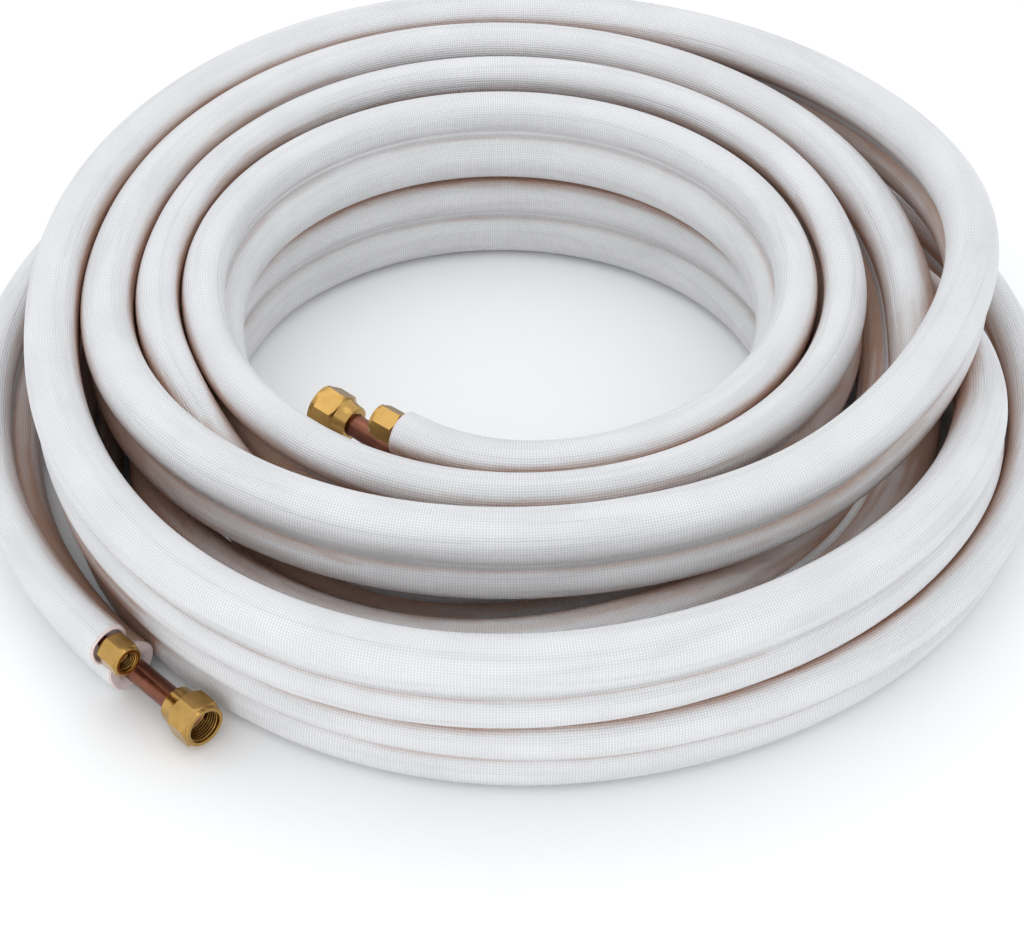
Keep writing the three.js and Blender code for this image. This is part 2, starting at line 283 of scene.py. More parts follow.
def depth_below(line, roll):
    corners = roll[:, None] + (2 * np.arange(SLEEVE_CORNERS) + 1) * math.pi / SLEEVE_CORNERS
    return (-line.sleeve * np.sin(corners)).max(1)


# %% Settle the turns
def pushes(place, offset, lean):
    move = np.zeros_like(place)
    for gap in range(STATIONS_PER_TURN, len(place), STATIONS_PER_TURN):
        one = np.arange(len(place) - gap)
        other = one + gap
        for a in lines:
            for b in lines:
                away = place[other] + offset[b.name][other] - place[one] - offset[a.name][one]
                apart = np.hypot(away[:, 0], away[:, 1])
                unit = away / apart[:, None]
                needed = a.sleeve * slant_stretch(lean[one], unit)
                needed = needed + b.sleeve * slant_stretch(lean[other], unit) + TURN_GAP
                push = np.maximum(0, needed - apart)[:, None] * unit / 4
                np.subtract.at(move, one, push)
                np.add.at(move, other, push)
    return move


def settle(rounds=80):
    lane, tier, roll = (between_rows(column, station_angles) for column in (1, 2, 3))
    roll = np.radians(roll)
    toward = np.stack([np.cos(roll), np.sin(roll)], -1)
    laid = np.stack([INNERMOST_RADIUS + lane * lane_pitch, tier * tier_height], -1)
    lean = lean_of(laid)
    stretch = slant_stretch(lean, toward)[:, None]
    offset = {line.name: toward * line.side * (line.flat + PAIR_SEAM / 2) * stretch for line in lines}
    lowest = np.minimum(*[offset[line.name][:, 1] - depth_below(line, roll) for line in lines])
    planned = laid - np.stack([np.zeros_like(lowest), lowest], -1)
    place = planned.copy()
    for turn in range(rounds):
        place += pushes(place, offset, lean)
        place[:, 1] = np.maximum(place[:, 1], -lowest)
        if turn < rounds * 0.75:
            shift = place - planned
            shift[1:-1] += 0.25 * (shift[:-2] - 2 * shift[1:-1] + shift[2:])
            place = planned + shift
        place[tier == 0, 1] = planned[tier == 0, 1]
    return {line.name: place + offset[line.name] for line in lines}


settled = settle()
for line in lines:
    radii, heights = settled[line.name].T / MM
    print(line.name, "radius, mm:", radii.min().round(1), "to", radii.max().round(1))
    print(line.name, "height, mm: up to", heights.max().round(1))

# %% [markdown]
# The stations are 20 degrees apart. A clamped cubic spline carries each sleeve smoothly through
# them, and at both ends takes the slope that its last three stations give there.


# %% A smooth path through the stations
def spline_slopes(values, start, end):
    n = len(values)
    system = np.zeros((n, n))
    right = np.zeros((n, 2))
    system[0, 0] = system[-1, -1] = 1
    right[0], right[-1] = start, end
    for i in range(1, n - 1):
        system[i, i - 1 : i + 2] = (1, 4, 1)
        right[i] = 3 * (values[i + 1] - values[i - 1])
    return np.linalg.solve(system, right)


def smooth_path(line, at):
    values = settled[line.name]
    start = (4 * values[1] - 3 * values[0] - values[2]) / 2
    end = (3 * values[-1] - 4 * values[-2] + values[-3]) / 2
    slopes = spline_slopes(values, start, end)
    i = np.minimum(at.astype(int), len(values) - 2)
    t = (at - i)[:, None]
    plane = (2 * t**3 - 3 * t**2 + 1) * values[i] + (t**3 - 2 * t**2 + t) * slopes[i]
    plane += (3 * t**2 - 2 * t**3) * values[i + 1] + (t**3 - t**2) * slopes[i + 1]
    angle = np.radians(station_angles[0] + at * station_step)
    points = np.stack([plane[:, 0] * np.cos(angle), plane[:, 0] * np.sin(angle), plane[:, 1]], -1)
    return points + np.array(COIL_AXIS)


RINGS = 1400
last_station = len(station_angles) - 1
paths = {line.name: smooth_path(line, np.linspace(0, last_station, RINGS)) for line in lines}
for line in lines:
    length = np.linalg.norm(np.diff(paths[line.name], axis=0), axis=1).sum()
    print(line.name, "line is", round(length, 2), "m long")

# %% [markdown]
# ## Helpers for node trees
#
# Both Geometry Nodes and shaders are built from one small method: it takes a node's type, its
# settings, and the values or links of its sockets. A socket is given by its name, with _ for a
# space, or as n0, n1 and so on by its number. For numbers that vary over a surface, a tiny class
# wraps a socket so that ordinary Python sums add the Math nodes.


# %% One method for nodes
def add_node(tree, kind, settings=None, **sockets):
    node = tree.nodes.new(kind)
    for key, value in (settings or {}).items():
        setattr(node, key, value)
    for key, value in sockets.items():
        numbered = key[0] == "n" and key[1:].isdigit()
        socket = node.inputs[int(key[1:]) if numbered else key.replace("_", " ")]
        if isinstance(value, Shade):
            value = value.socket
        if isinstance(value, bpy.types.NodeSocket):
            tree.links.new(value, socket)
        else:
            socket.default_value = value
    return node


class Shade:
    """A number that varies over a surface. Sums on it add Math nodes to its tree."""

    def __init__(self, tree, socket):
        self.tree = tree
        self.socket = socket

    def math(self, operation, *others):
        sockets = {f"n{i}": value for i, value in enumerate((self, *others))}
        node = add_node(self.tree, "ShaderNodeMath", {"operation": operation}, **sockets)
        return Shade(self.tree, node.outputs[0])

    def __add__(self, other):
        return self.math("ADD", other)

    def __sub__(self, other):
        return self.math("SUBTRACT", other)

    def __rsub__(self, other):
        return (self * -1) + other

    def __mul__(self, other):
        return self.math("MULTIPLY", other)

    def __truediv__(self, other):
        return self.math("DIVIDE", other)

    def __pow__(self, other):
        return self.math("POWER", other)

    __radd__ = __add__
    __rmul__ = __mul__


# %% [markdown]
# ## Finishes
#
# A finish starts as a Principled BSDF with its plain values. What varies is linked on top of them.


# %% Start of a finish
def new_finish(name, color, roughness, metallic=0.0):
    material = bpy.data.materials.new(name)
    material.use_nodes = True
    tree = material.node_tree
    shader = tree.nodes["Principled BSDF"]
    shader.inputs["Base Color"].default_value = (*color, 1)
    shader.inputs["Roughness"].default_value = roughness
    shader.inputs["Metallic"].default_value = metallic
    return material, tree, shader


def bump(tree, height, distance, strength, onto=None):
    sockets = {"Height": height, "Distance": distance, "Strength": strength}
    if onto is not None:
        sockets["Normal"] = onto
    return add_node(tree, "ShaderNodeBump", None, **sockets).outputs[0]


def color_mix(tree, mask, low, high):
    node = add_node(tree, "ShaderNodeMix", {"data_type": "RGBA"}, n0=mask)
    for index, color in ((6, low), (7, high)):
        if isinstance(color, bpy.types.NodeSocket):
            tree.links.new(color, node.inputs[index])
        else:
            node.inputs[index].default_value = (*color, 1)
    return node.outputs[2]


# %% [markdown]
# The sleeves are wrapped in a thin white plastic film, embossed with a fine square grid of about
# 1.5 mm, whose ribs round the sleeve stand out more than its rows along it. The grid follows the
# sleeve, so it is drawn on a UV map that counts the cells along and around it. Its raised points
# are painted lighter in the film's color, a painted highlight, over a tone that varies at random.
# The film is also a little loose: long thin creases run along the sleeve, where a stretched noise
# crosses its middle value, and they are painted darker, a painted shade. Where neighbouring turns
# lie close, the film's color is darkened to a warm brown, painted shade that follows a number
# stored on the mesh further down.


# %% Embossed film
CELLS = "film_cells"
PAINTED_SHADE_ATTRIBUTE = "shelter"
FILM_PITCH = 1.5 * MM


def cell_noise(tree, cells, stretch, detail):
    kind = "ShaderNodeVectorMath"
    place = add_node(tree, kind, {"operation": "MULTIPLY"}, n0=cells, n1=stretch).outputs[0]
    noise = add_node(tree, "ShaderNodeTexNoise", None, Vector=place, Scale=1.0, Detail=detail)
    return Shade(tree, noise.outputs[0])


def film_relief(tree, cells):
    split = add_node(tree, "ShaderNodeSeparateXYZ", None, Vector=cells)
    counts = (Shade(tree, split.outputs[0]), Shade(tree, split.outputs[1]))
    ribs, rows = ((count * (2 * math.pi)).math("COSINE") for count in counts)
    dots = ribs * 0.3 + rows * 0.2 + 0.5
    creased = cell_noise(tree, cells, (0.004, 0.07, 1), 3.0)
    crease = (1 - (creased - 0.5).math("ABSOLUTE") * 16).math("MAXIMUM", 0)
    return dots, crease


def film_finish():
    material, tree, shader = new_finish("embossed_film", (0.80, 0.80, 0.80), 0.5)
    cells = add_node(tree, "ShaderNodeUVMap", {"uv_map": CELLS}).outputs[0]
    dots, crease = film_relief(tree, cells)
    creased = bump(tree, crease, -0.5 * MM, 0.5)
    embossed = bump(tree, dots, 0.34 * MM, 1.0, creased)
    tree.links.new(embossed, shader.inputs["Normal"])
    patches = cell_noise(tree, cells, (0.03, 0.05, 1), 2.0)
    # Painted light: the grid's raised points are painted lighter and the creases darker; the noise
    # patches vary the tone at random.
    tone_and_painted_light = dots**2.5 * (patches + 0.3) + patches * 0.25 + 0.1 - crease * 0.15
    film_with_painted_relief_light = color_mix(tree, tone_and_painted_light, (0.58, 0.575, 0.585), (0.87, 0.87, 0.885))
    # Painted shade: where other turns lie close, the film's color is darkened to a warm brown.
    enclosure_for_painted_shade = add_node(tree, "ShaderNodeAttribute", {"attribute_name": PAINTED_SHADE_ATTRIBUTE}).outputs["Fac"]
    painted_shade_mask = ((Shade(tree, enclosure_for_painted_shade) - 0.34) * 3).math("MAXIMUM", 0).math("MINIMUM", 1)
    shown = color_mix(tree, painted_shade_mask, film_with_painted_relief_light, (0.46, 0.29, 0.22))
    tree.links.new(shown, shader.inputs["Base Color"])
    return material


film = film_finish()

# %% [markdown]
# Where a sleeve ends, its foam shows: open cells, a warmer pinkish white, softly pitted, with the pits
# painted darker, a painted shade. The copper is soft drawn tube, dull and brown, with faint stains.
# The nuts are machined brass, shinier, with a slight unevenness in color. All three follow the
# piece's own coordinates, through a noise.


# %% Foam, copper and brass
def object_noise(tree, scale, detail=3.0):
    place = add_node(tree, "ShaderNodeTexCoord").outputs["Object"]
    noise = add_node(tree, "ShaderNodeTexNoise", None, Vector=place, Scale=scale, Detail=detail)
    return Shade(tree, noise.outputs[0])


def foam_finish():
    material, tree, shader = new_finish("cut_foam", (0.80, 0.68, 0.66), 0.8)
    pits = object_noise(tree, 900)
    tree.links.new(bump(tree, pits, 0.5 * MM, 0.7), shader.inputs["Normal"])
    # The color darkens with the same noise that sinks the pits: painted shade in the pits.
    color = color_mix(tree, pits, (0.56, 0.42, 0.40), (0.86, 0.76, 0.75))
    tree.links.new(color, shader.inputs["Base Color"])
    return material


def copper_finish():
    material, tree, shader = new_finish("soft_copper", (0.30, 0.12, 0.08), 0.42, 1.0)
    stain = object_noise(tree, 120)
    color = color_mix(tree, stain, (0.11, 0.042, 0.028), (0.30, 0.12, 0.075))
    tree.links.new(color, shader.inputs["Base Color"])
    tree.links.new((stain * 0.2 + 0.22).socket, shader.inputs["Roughness"])
    fine = object_noise(tree, 900, 2.0)
    tree.links.new(bump(tree, fine, 0.1 * MM, 0.25), shader.inputs["Normal"])
    return material


def brass_finish():
    material, tree, shader = new_finish("machined_brass", (0.55, 0.36, 0.13), 0.26, 1.0)
    stain = object_noise(tree, 160)
    color = color_mix(tree, stain, (0.36, 0.21, 0.06), (0.58, 0.36, 0.115))
    tree.links.new(color, shader.inputs["Base Color"])
    tree.links.new((stain * 0.12 + 0.14).socket, shader.inputs["Roughness"])
    fine = object_noise(tree, 1400, 2.0)
    tree.links.new(bump(tree, fine, 0.03 * MM, 0.12), shader.inputs["Normal"])
    return material


foam = foam_finish()
copper = copper_finish()
brass = brass_finish()
print("finishes:", [m.name for m in (film, foam, copper, brass)])

# %% [markdown]
# ## The sleeves
#
# A sleeve is a round section that follows its path, which is what Curve to Mesh in Geometry Nodes
# does. The tree stores two counts on the way: how far along the path a point is, and how far round
# the section. On the last strip round the section the count falls back from nearly one to zero, so
# a face corner there that lies far below its face's mean gets one added. The film's cells are then
# even everywhere.


# %% Inputs of a Geometry Nodes tree
def new_tree(name, inputs):
    tree = bpy.data.node_groups.new(name, "GeometryNodeTree")
    tree.interface.new_socket("Geometry", in_out="INPUT", socket_type="NodeSocketGeometry")
    tree.interface.new_socket("Geometry", in_out="OUTPUT", socket_type="NodeSocketGeometry")
    for title, kind in inputs.items():
        tree.interface.new_socket(title, in_out="INPUT", socket_type=kind)
    return tree, tree.nodes.new("NodeGroupInput"), tree.nodes.new("NodeGroupOutput")


def run_tree(tree, obj, values):
    modifier = obj.modifiers.new(tree.name, "NODES")
    modifier.node_group = tree
    sockets = {s.name: s.identifier for s in tree.interface.items_tree if s.in_out == "INPUT"}
    for title, value in values.items():
        modifier[sockets[title]] = value
    graph = bpy.context.evaluated_depsgraph_get()
    mesh = bpy.data.meshes.new_from_object(obj.evaluated_get(graph))
    obj.modifiers.remove(modifier)
    return mesh


# %% The tree that sweeps a sleeve
def sleeve_tree():
    inputs = {"Radius": "NodeSocketFloat", "Sides": "NodeSocketInt", "Pitch": "NodeSocketFloat"}
    inputs |= {"Cells Around": "NodeSocketFloat", "Finish": "NodeSocketMaterial"}
    tree, given, result = new_tree("sleeve_along_its_path", inputs)

    def node(kind, settings=None, **sockets):
        return add_node(tree, kind, settings, **sockets)

    def stored(geometry, name, value, kind="FLOAT", domain="POINT"):
        settings = {"data_type": kind, "domain": domain}
        return node("GeometryNodeStoreNamedAttribute", settings,
                    Geometry=geometry, Name=name, Value=value).outputs[0]

    def read(name):
        return node("GeometryNodeInputNamedAttribute", {"data_type": "FLOAT"}, Name=name).outputs[0]

    line = node("GeometryNodeMeshToCurve", None, Mesh=given.outputs["Geometry"])
    path = stored(line.outputs[0], "along", node("GeometryNodeSplineParameter").outputs["Length"])
    ring = node("GeometryNodeCurvePrimitiveCircle", None,
                Resolution=given.outputs["Sides"], Radius=given.outputs["Radius"])
    section = stored(ring.outputs[0], "round", node("GeometryNodeSplineParameter").outputs["Factor"])
    swept = node("GeometryNodeCurveToMesh", None,
                 Curve=path, Profile_Curve=section, Scale=read("width"))
    along, turn = Shade(tree, read("along")), Shade(tree, read("round"))
    over_face = {"domain": "FACE", "data_type": "FLOAT"}
    mean = Shade(tree, node("GeometryNodeFieldOnDomain", over_face, Value=turn).outputs[0])
    wrapped = turn + (mean - turn).math("GREATER_THAN", 0.25)
    pitch, around = (Shade(tree, given.outputs[title]) for title in ("Pitch", "Cells Around"))
    cells = node("ShaderNodeCombineXYZ", None, X=along / pitch, Y=wrapped * around)
    mapped = stored(swept.outputs[0], CELLS, cells.outputs[0], "FLOAT2", "CORNER")
    real = node("GeometryNodeRealizeInstances", None, Geometry=mapped)
    done = node("GeometryNodeSetMaterial", None,
                Geometry=real.outputs[0], Material=given.outputs["Finish"])
    tree.links.new(done.outputs[0], result.inputs[0])
    return tree


sweep = sleeve_tree()
print("sweep tree has", len(sweep.nodes), "nodes")


# %% [markdown]
# The film's cut edge is rounded: over the first and last sixtieth of a station, which is one or two
# millimetres, the sleeve's width grows from 0.93 to its full value.


# %% Make both sleeves
SLEEVE_SIDES = 32
EDGE = ((0.0, 0.93), (0.003, 0.972), (0.008, 0.993), (0.016, 1.0))


def path_mesh(name, points, widths):
    mesh = bpy.data.meshes.new(name)
    mesh.from_pydata(points.tolist(), [(i, i + 1) for i in range(len(points) - 1)], [])
    mesh.attributes.new("width", "FLOAT", "POINT").data.foreach_set("value", widths.astype(np.float32))
    obj = bpy.data.objects.new(name, mesh)
    scene.collection.objects.link(obj)
    return obj


def sleeve(line):
    edge = np.array(EDGE)
    inside = np.linspace(0.03, last_station - 0.03, RINGS)
    at = np.concatenate([edge[:, 0], inside, last_station - edge[::-1, 0]])
    widths = np.concatenate([edge[:, 1], np.ones(len(inside)), edge[::-1, 1]])
    obj = path_mesh(f"{line.name}_sleeve_film", smooth_path(line, at), widths)
    values = {"Radius": line.sleeve, "Sides": SLEEVE_SIDES, "Pitch": FILM_PITCH, "Finish": film}
    values["Cells Around"] = float(round(2 * math.pi * line.sleeve / FILM_PITCH))
    obj.data = run_tree(sweep, obj, values)
    obj.data.name = obj.name
    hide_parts(f"{line.name}_line_insulation")
    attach(obj, "coil")
    return obj


sleeves = [sleeve(line) for line in lines]
for obj in sleeves:
    print(obj.name, len(obj.data.polygons), "faces, UV maps:", [uv.name for uv in obj.data.uv_layers])

# %% [markdown]
# In the photograph the groove between the two sleeves of the pair is shallow, as if they were bonded
# where they touch. A narrow web fills the groove: at each step of the path it is a small six-sided
# section that lies on both sleeves, with its two free faces a little hollow. It follows two paths at
# once, which is why it is made in mesh code.


# %% The bond between the sleeves
BOND_HALF_WIDTH = 7.5 * MM
BOND_HOLLOW = 1 * MM
BOND_SUNK = 0.4 * MM
BOND_CORNERS = 6


def bond_section(here, there, tangent):
    across = there - here
    gap = np.linalg.norm(across)
    across /= gap
    side = np.cross(tangent, across)
    near, far = (math.sqrt(line.sleeve**2 - BOND_HALF_WIDTH**2) - BOND_SUNK for line in lines)
    heights = (near, (near + gap - far) / 2, gap - far)
    widths = (BOND_HALF_WIDTH, BOND_HALF_WIDTH - BOND_HOLLOW, BOND_HALF_WIDTH)
    right = [here + across * h + side * w for h, w in zip(heights, widths)]
    left = [here + across * h - side * w for h, w in zip(heights[::-1], widths)]
    return right + left


def bond_faces(count):
    corners = range(BOND_CORNERS)
    faces = []
    for i in range(count - 1):
        now, ahead = i * BOND_CORNERS, (i + 1) * BOND_CORNERS
        for k in corners:
            m = (k + 1) % BOND_CORNERS
            faces.append([ahead + k, ahead + m, now + m, now + k])
    return faces + [list(corners), [(count - 1) * BOND_CORNERS + k for k in reversed(corners)]]


def map_bond(mesh, path):
    length = np.concatenate([[0], np.linalg.norm(np.diff(path, axis=0), axis=1).cumsum()])
    corner = np.zeros(len(mesh.loops), int)
    mesh.loops.foreach_get("vertex_index", corner)
    ring, place = np.divmod(corner, BOND_CORNERS)
    flat = np.stack([length[ring] / FILM_PITCH, place % (BOND_CORNERS // 2)], -1)
    mesh.uv_layers.new(name=CELLS).data.foreach_set("uv", flat.ravel())


def sleeve_bond():
    at = np.linspace(0.02, last_station - 0.02, RINGS)
    one, other = (smooth_path(line, at) for line in lines)
    tangents = np.gradient((one + other) / 2, axis=0)
    tangents /= np.linalg.norm(tangents, axis=1)[:, None]
    points = [point for three in zip(one, other, tangents) for point in bond_section(*three)]
    mesh = bpy.data.meshes.new("sleeve_bond")
    mesh.from_pydata(np.array(points).tolist(), [], bond_faces(RINGS))
    map_bond(mesh, one)
    mesh.materials.append(film)
    mesh.shade_smooth()
    obj = bpy.data.objects.new("sleeve_bond", mesh)
    scene.collection.objects.link(obj)
    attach(obj, "coil")
    return obj


bond = sleeve_bond()
print(bond.name, len(bond.data.polygons), "faces")

# %% [markdown]
# Where neighbouring turns lie close, the white film is painted a warm brown: painted shade in its
# color. How enclosed each point is can be counted once: a few rays go out from it, and the share of
# them that soon meets a sleeve is stored on the mesh, where a near meeting counts twice as much as a
# far one. The finish reads that number and darkens the film's color to warm brown there, as painted
# shade.


# %% How enclosed the film is, for its painted shade
RAYS = 14
RAY_REACH = 70 * MM
RAY_START = 0.4 * MM


def ray_fan():
    k = np.arange(RAYS) + 0.5
    rise = 1 - k / RAYS
    turn = k * math.pi * (3 - math.sqrt(5))
    flat = np.sqrt(1 - rise**2)
    return np.stack([flat * np.cos(turn), flat * np.sin(turn), rise], -1)


def store_painted_shade(objects):
    points, polygons = [], []
    for obj in objects:
        base = len(points)
        points += [v.co.copy() for v in obj.data.vertices]
        polygons += [tuple(i + base for i in p.vertices) for p in obj.data.polygons]
    tree = BVHTree.FromPolygons(points, polygons)
    fan = [Vector(ray) for ray in ray_fan()]
    up = Vector((0, 0, 1))
    for obj in objects:
        shares = []
        for vertex in obj.data.vertices:
            turn = up.rotation_difference(vertex.normal)
            start = vertex.co + vertex.normal * RAY_START
            hits = (tree.ray_cast(start, turn @ ray, RAY_REACH)[3] for ray in fan)
            shares.append(sum(1 - 0.5 * d / RAY_REACH for d in hits if d is not None) / RAYS)
        obj.data.attributes.new(PAINTED_SHADE_ATTRIBUTE, "FLOAT", "POINT").data.foreach_set("value", shares)
        print(obj.name, "mean shelter", round(sum(shares) / len(shares), 2))


store_painted_shade(sleeves)

# %% [markdown]
# ## Turned pieces
#
# Foam mouths, copper ends and nuts are all round about the straight end of a pipe. Each is drawn as
# a profile of radius and distance along that end, and turned about it in mesh code. The record of
# the solids says where each nut's axis runs, and the pieces stand on those axes.


# %% The straight ends
class End:
    """One straight pipe end: the sleeve's mouth, the direction outwards, and a turn onto it."""

    def __init__(self, line, which):
        self.line = line
        self.which = which
        self.name = f"{line.name}_{which}_end"
        self.body = f"{self.name}_nut"
        joint = next(j for j in frame["joints"] if j["child"] == self.body)
        self.axis = Vector(joint["axis"]).normalized()
        self.rear = Vector(joint["pos_m"]) - self.axis * line.nut / 2
        self.mouth = self.rear - self.axis * line.bare
        self.turn = Vector((0, 0, 1)).rotation_difference(self.axis).to_matrix()


ends = [End(line, which) for line in lines for which in ("inner", "outer")]
for end in ends:
    points = paths[end.line.name]
    gap = min((Vector(p) - end.mouth).length for p in (points[0], points[-1]))
    print(end.name, "mouth at", [round(c, 4) for c in end.mouth])
    print("it lies", round(gap / MM, 2), "mm from the path's end")


# %% Turn a profile about an end
def turned_mesh(profile, around=48, shape=None):
    """A closed loop of (radius, distance), turned about Z. shape may change each radius."""
    turns = np.arange(around) * 2 * math.pi / around
    loops = []
    for radius, z in profile:
        radii = np.full(around, radius) if shape is None else shape(radius, z, turns)
        loops.append(np.stack([radii * np.cos(turns), radii * np.sin(turns), np.full(around, z)], -1))
    points = np.concatenate(loops)
    faces = []
    count = len(profile)
    for i in range(count):
        j = (i + 1) % count
        for k in range(around):
            m = (k + 1) % around
            faces.append((i * around + k, i * around + m, j * around + m, j * around + k))
    return points, faces


def placed(name, points, faces, origin, turn, finish, sharp=35):
    mesh = bpy.data.meshes.new(name)
    moved = points @ np.array(turn).T + np.array(origin)
    mesh.from_pydata(moved.tolist(), [], faces)
    mesh.materials.append(finish)
    mesh.shade_smooth()
    mesh.set_sharp_from_angle(angle=math.radians(sharp))
    obj = bpy.data.objects.new(name, mesh)
    scene.collection.objects.link(obj)
    return obj


# %% [markdown]
# The foam's cut end is a short thick ring inside the film. Its lip is uneven, because foam is cut
# with a knife, so each point of the lip moves a little, by a sum of a few waves around it. The
# liquid line's nut stands right in front of its sleeve. The foam there is hollowed behind a thin
# lip, which leaves the dark gap that the photograph shows behind the nut.


# %% Foam mouths
LIP_WAVES = 0.6 * MM
MOUTH_SIDES = 64


def lip_waves(seed):
    random = np.random.default_rng(seed)
    heights = random.normal(0, 1, 6) * LIP_WAVES / np.arange(2, 8)
    phases = random.uniform(0, 2 * math.pi, 6)
    waves = list(zip(range(2, 8), heights, phases))
    return lambda a: sum(height * np.cos(count * a + phase) for count, height, phase in waves)


def mouth_profile(line, outer, bore):
    profile = [(bore, -8), (outer, -8), (outer, -1.2)]
    profile += [(outer - 0.4 * MM, 0.2), (outer - 1.2 * MM, 0.9)]
    if line is liquid:
        profile += [(outer - 2 * MM, 0.6), (outer - 2.6 * MM, -0.6)]
        profile += [(outer - 3 * MM, -3.5), (bore, -4.5)]
    else:
        profile += [(outer - 2.4 * MM, 0.5), (bore + 2.2 * MM, 0.2)]
        profile += [(bore + 0.9 * MM, -0.6), (bore, -2)]
    return [(radius, z * MM) for radius, z in profile]


def foam_mouth(end, seed):
    outer, bore = end.line.sleeve - 0.35 * MM, end.line.tube + 0.4 * MM
    waves = lip_waves(seed)

    def ragged(radius, z, a):
        on_lip = z > -1.1 * MM and bore * 1.02 < radius < outer
        return radius + waves(a) * on_lip

    points, faces = turned_mesh(mouth_profile(end.line, outer, bore), MOUTH_SIDES, ragged)
    obj = placed(f"{end.name}_foam", points, faces, end.mouth, end.turn, foam)
    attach(obj, "coil")
    return obj


mouths = [foam_mouth(end, 10 + i) for i, end in enumerate(ends)]
print("foam mouths:", [m.name for m in mouths])

# %% [markdown]
# The copper shows between the foam and the nut, and opens into a 45 degree flare inside the nut.
# Only the last stretch of each tube can ever be seen, so the tube is made from a little inside the
# foam to the flare, which starts a little short of the middle of the nut. The flare's mouth is
# rounded, as a flaring tool leaves it.


# %% Copper ends
BURIED = 7 * MM
TUBE_WALL = 0.8 * MM
BORE_PLAY = 0.35 * MM
SEAT_SHARE = 0.45
TUBE_SIDES = 48


def copper_end(end):
    line = end.line
    seat = line.nut * SEAT_SHARE
    flare = (line.thread - BORE_PLAY - line.tube) * 0.9
    inner = line.tube - TUBE_WALL
    start, mouth = line.bare + seat, line.bare + seat + flare
    outside = [(line.tube, -BURIED), (line.tube, start - 0.8 * MM), (line.tube + 0.15 * MM, start)]
    outside += [(line.tube + flare, mouth), (line.tube + flare - 0.2 * MM, mouth + 0.35 * MM)]
    inside = [(line.tube + flare - 0.75 * MM, mouth + 0.3 * MM), (inner + 0.2 * MM, start + 0.2 * MM)]
    inside += [(inner, start - 0.8 * MM), (inner, -BURIED)]
    return turned_mesh(outside + inside, TUBE_SIDES)


def copper_tube(line):
    points, faces, start = [], [], 0
    for end in (e for e in ends if e.line is line):
        p, f = copper_end(end)
        points.append(p @ np.array(end.turn).T + np.array(end.mouth))
        faces += [tuple(i + start for i in face) for face in f]
        start += len(p)
    name, still = f"{line.name}_copper_ends", Matrix.Identity(3)
    obj = placed(name, np.concatenate(points), faces, (0, 0, 0), still, copper)
    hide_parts(f"{line.name}_line_tube")
    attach(obj, "coil")
    return obj


tubes = [copper_tube(line) for line in lines]
print("copper:", [t.name for t in tubes])

# %% [markdown]
# ## Flare nuts
#
# A flare nut is a hexagon whose corners are turned off at both ends, which leaves the round faces
# and the curved edges where each flat meets the cone. Around the nut the outside is the smaller of
# two radii: that of the hexagon and that of the cone. Rows close together follow the curve where
# they meet.

# %% The profile of a nut
ACROSS = math.cos(math.pi / 6)
NUT_SIDES = 96


def hexagon_radius(half_flats, a):
    return half_flats / np.cos((a + math.pi / 6) % (math.pi / 3) - math.pi / 6)


def nut_outside(line):
    corners = line.half_flats / ACROSS
    chamfer = corners - line.half_flats
    rim = line.half_flats * 0.96
    neck, neck_length, front = line.neck, line.neck_length, line.nut - chamfer * 1.25
    profile = [(neck - 0.8 * MM, 0), (neck - 0.25 * MM, 0.25 * MM), (neck, 0.8 * MM)]
    if line is suction:
        flare = rim - neck
        profile += [(neck + flare * 0.12, neck_length * 0.4), (neck + flare * 0.75, neck_length * 0.9)]
    steps = np.linspace(0, 1, 9)
    profile += [(rim + (corners - rim) * t, neck_length + chamfer * t) for t in steps]
    profile += [(corners - (corners - rim) * t, front - chamfer * 0.75 * (1 - t)) for t in steps]
    profile += [(rim, line.nut - 0.5 * MM), (rim - 0.15 * MM, line.nut - 0.12 * MM)]
    return profile + [(rim - 0.5 * MM, line.nut)]


def nut_inside(line):
    hole, root = line.tube + BORE_PLAY, line.thread + 0.35 * MM
    seat = line.nut * SEAT_SHARE - 0.35 * MM
    profile = [(line.thread + 0.9 * MM, line.nut), (line.thread + 0.55 * MM, line.nut - 0.15 * MM)]
    profile += [(root, line.nut - 0.7 * MM), (root, seat + line.thread - hole)]
    return profile + [(hole, seat)]


def nut_shape(line):
    def shape(radius, z, a):
        if radius < line.half_flats * 0.9 or z < line.neck_length:
            return np.full(len(a), radius)
        return np.minimum(radius, hexagon_radius(line.half_flats, a))

    return shape


# %% [markdown]
# The thread inside is a helix, and a helix is a path, so Geometry Nodes make it: a spiral curve of
# constant radius carries a small three-cornered ridge. Its inputs are the radius, the pitch and the
# number of turns.


# %% The tree for a thread
def thread_tree():
    inputs = {"Radius": "NodeSocketFloat", "Pitch": "NodeSocketFloat", "Turns": "NodeSocketFloat"}
    inputs |= {"Ridge": "NodeSocketFloat", "Finish": "NodeSocketMaterial"}
    tree, given, result = new_tree("thread_ridge", inputs)
    height = Shade(tree, given.outputs["Pitch"]) * Shade(tree, given.outputs["Turns"])
    radius = given.outputs["Radius"]
    spiral = add_node(tree, "GeometryNodeCurveSpiral", None, Resolution=40, Height=height,
                      Rotations=given.outputs["Turns"], Start_Radius=radius, End_Radius=radius)
    ridge = add_node(tree, "GeometryNodeCurvePrimitiveCircle", None,
                     Resolution=3, Radius=given.outputs["Ridge"])
    swept = add_node(tree, "GeometryNodeCurveToMesh", None, Curve=spiral.outputs[0],
                     Profile_Curve=ridge.outputs[0], Fill_Caps=True)
    real = add_node(tree, "GeometryNodeRealizeInstances", None, Geometry=swept.outputs[0])
    done = add_node(tree, "GeometryNodeSetMaterial", None,
                    Geometry=real.outputs[0], Material=given.outputs["Finish"])
    tree.links.new(done.outputs[0], result.inputs[0])
    return tree


helix = thread_tree()
print("thread tree has", len(helix.nodes), "nodes")


# %% Make the four nuts
THREAD_RIDGE = 0.55 * MM


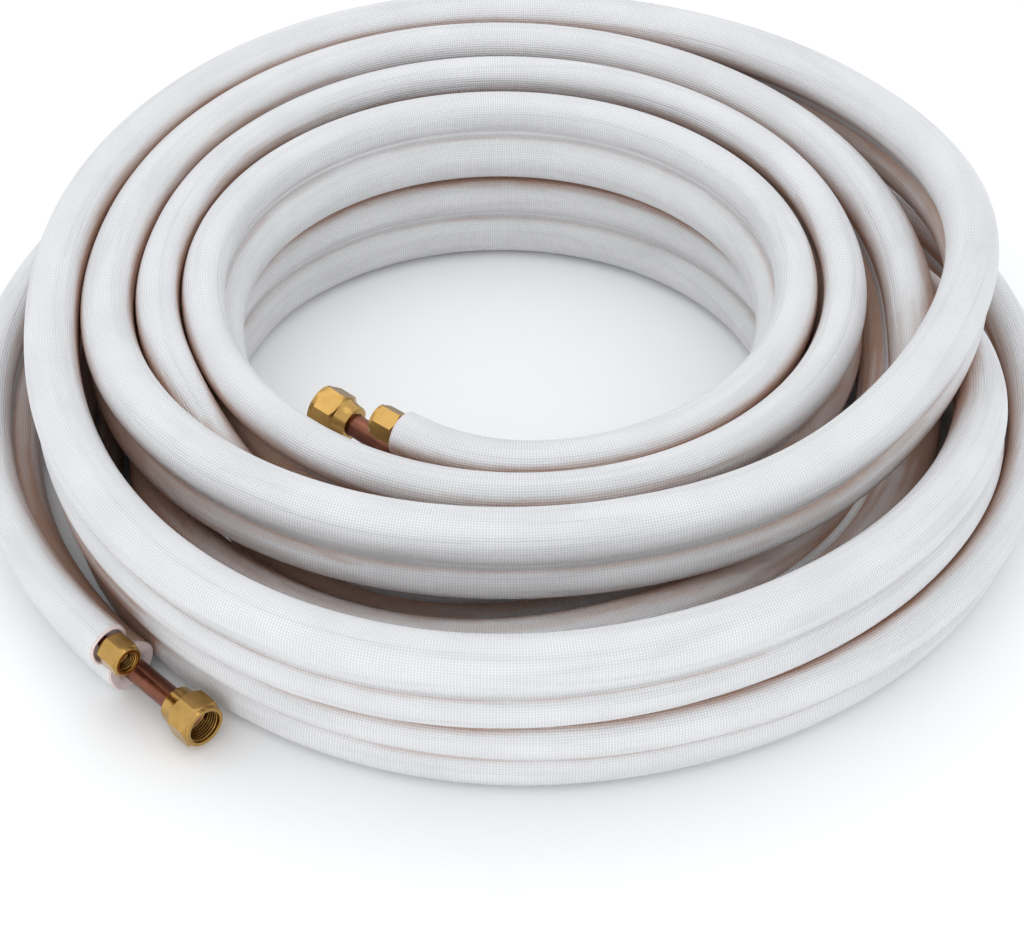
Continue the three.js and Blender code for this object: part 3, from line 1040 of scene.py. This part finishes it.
def thread_mesh(end):
    line = end.line
    depth = line.nut * (1 - SEAT_SHARE) - line.thread + line.tube
    turns = max(2.0, (depth - 1.6 * MM) / line.pitch)
    holder = bpy.data.objects.new("thread", bpy.data.meshes.new("thread"))
    scene.collection.objects.link(holder)
    values = {"Radius": line.thread + 0.3 * MM, "Pitch": line.pitch, "Turns": turns}
    values |= {"Ridge": THREAD_RIDGE, "Finish": brass}
    mesh = run_tree(helix, holder, values)
    bpy.data.objects.remove(holder)
    place = Matrix.Translation((0, 0, line.nut - 1.1 * MM - line.pitch * turns))
    mesh.transform(Matrix.Translation(end.rear) @ end.turn.to_4x4() @ place)
    return mesh


def join(obj, mesh):
    other = bpy.data.objects.new("joined", mesh)
    scene.collection.objects.link(other)
    with bpy.context.temp_override(active_object=obj, selected_editable_objects=[obj, other]):
        bpy.ops.object.join()


def flare_nut(end):
    line = end.line
    profile = [(line.tube + BORE_PLAY, 0)] + nut_outside(line) + nut_inside(line)
    points, faces = turned_mesh(profile, NUT_SIDES, nut_shape(line))
    obj = placed(f"{end.body}_brass", points, faces, end.rear, end.turn, brass, 28)
    join(obj, thread_mesh(end))
    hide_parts(f"{line.name}_flare_nut_{end.which}_end")
    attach(obj, end.body)
    return obj


nuts = [flare_nut(end) for end in ends]
for nut in nuts:
    print(nut.name, len(nut.data.polygons), "faces")

# %% [markdown]
# ## Floor and light
#
# The photograph is a cut-out on white, so the floor and the world are nearly white too. The floor
# lies a little lower than the solids' lowest point, because the smooth sleeves are rounder than the
# solids' faceted ones and reach about 1.1 mm further down.


# %% Floor
FLOOR_DROP = 1.2 * MM


def pale_floor():
    mesh = bpy.data.meshes.new("floor")
    mesh.from_pydata([(-6, -6, 0), (6, -6, 0), (6, 6, 0), (-6, 6, 0)], [], [(0, 1, 2, 3)])
    floor = bpy.data.objects.new("floor", mesh)
    scene.collection.objects.link(floor)
    mesh.materials.append(new_finish("pale_floor", (0.93, 0.93, 0.93), 0.9)[0])
    floor.location.z = -FLOOR_DROP


pale_floor()


# %% [markdown]
# The photograph's light is flat and comes from all round, so most of it comes from the bright world.
# A wide soft light from above and a little behind brightens the tops of the sleeves, and another from
# low in front opens the shade on their sides. The gaps between the turns darken under these lights,
# and the film there also carries a painted warm brown shade in its color.


# %% Lights
def area_light(name, place, power, size=1.4):
    data = bpy.data.lights.new(name, "AREA")
    data.shape = "DISK"
    data.size = size
    data.energy = power
    lamp = bpy.data.objects.new(name, data)
    lamp.location = place
    lamp.rotation_euler = (-Vector(place)).to_track_quat("-Z", "Y").to_euler()
    scene.collection.objects.link(lamp)


world = bpy.data.worlds.new("studio")
world.use_nodes = True
background = world.node_tree.nodes["Background"]
background.inputs["Color"].default_value = (0.965, 0.985, 1, 1)
background.inputs["Strength"].default_value = 1.12
scene.world = world
area_light("top", (-0.3, 0.4, 1.8), 3)
area_light("front", (-0.3, -1.7, 0.3), 4)
scene.view_settings.view_transform = "Standard"
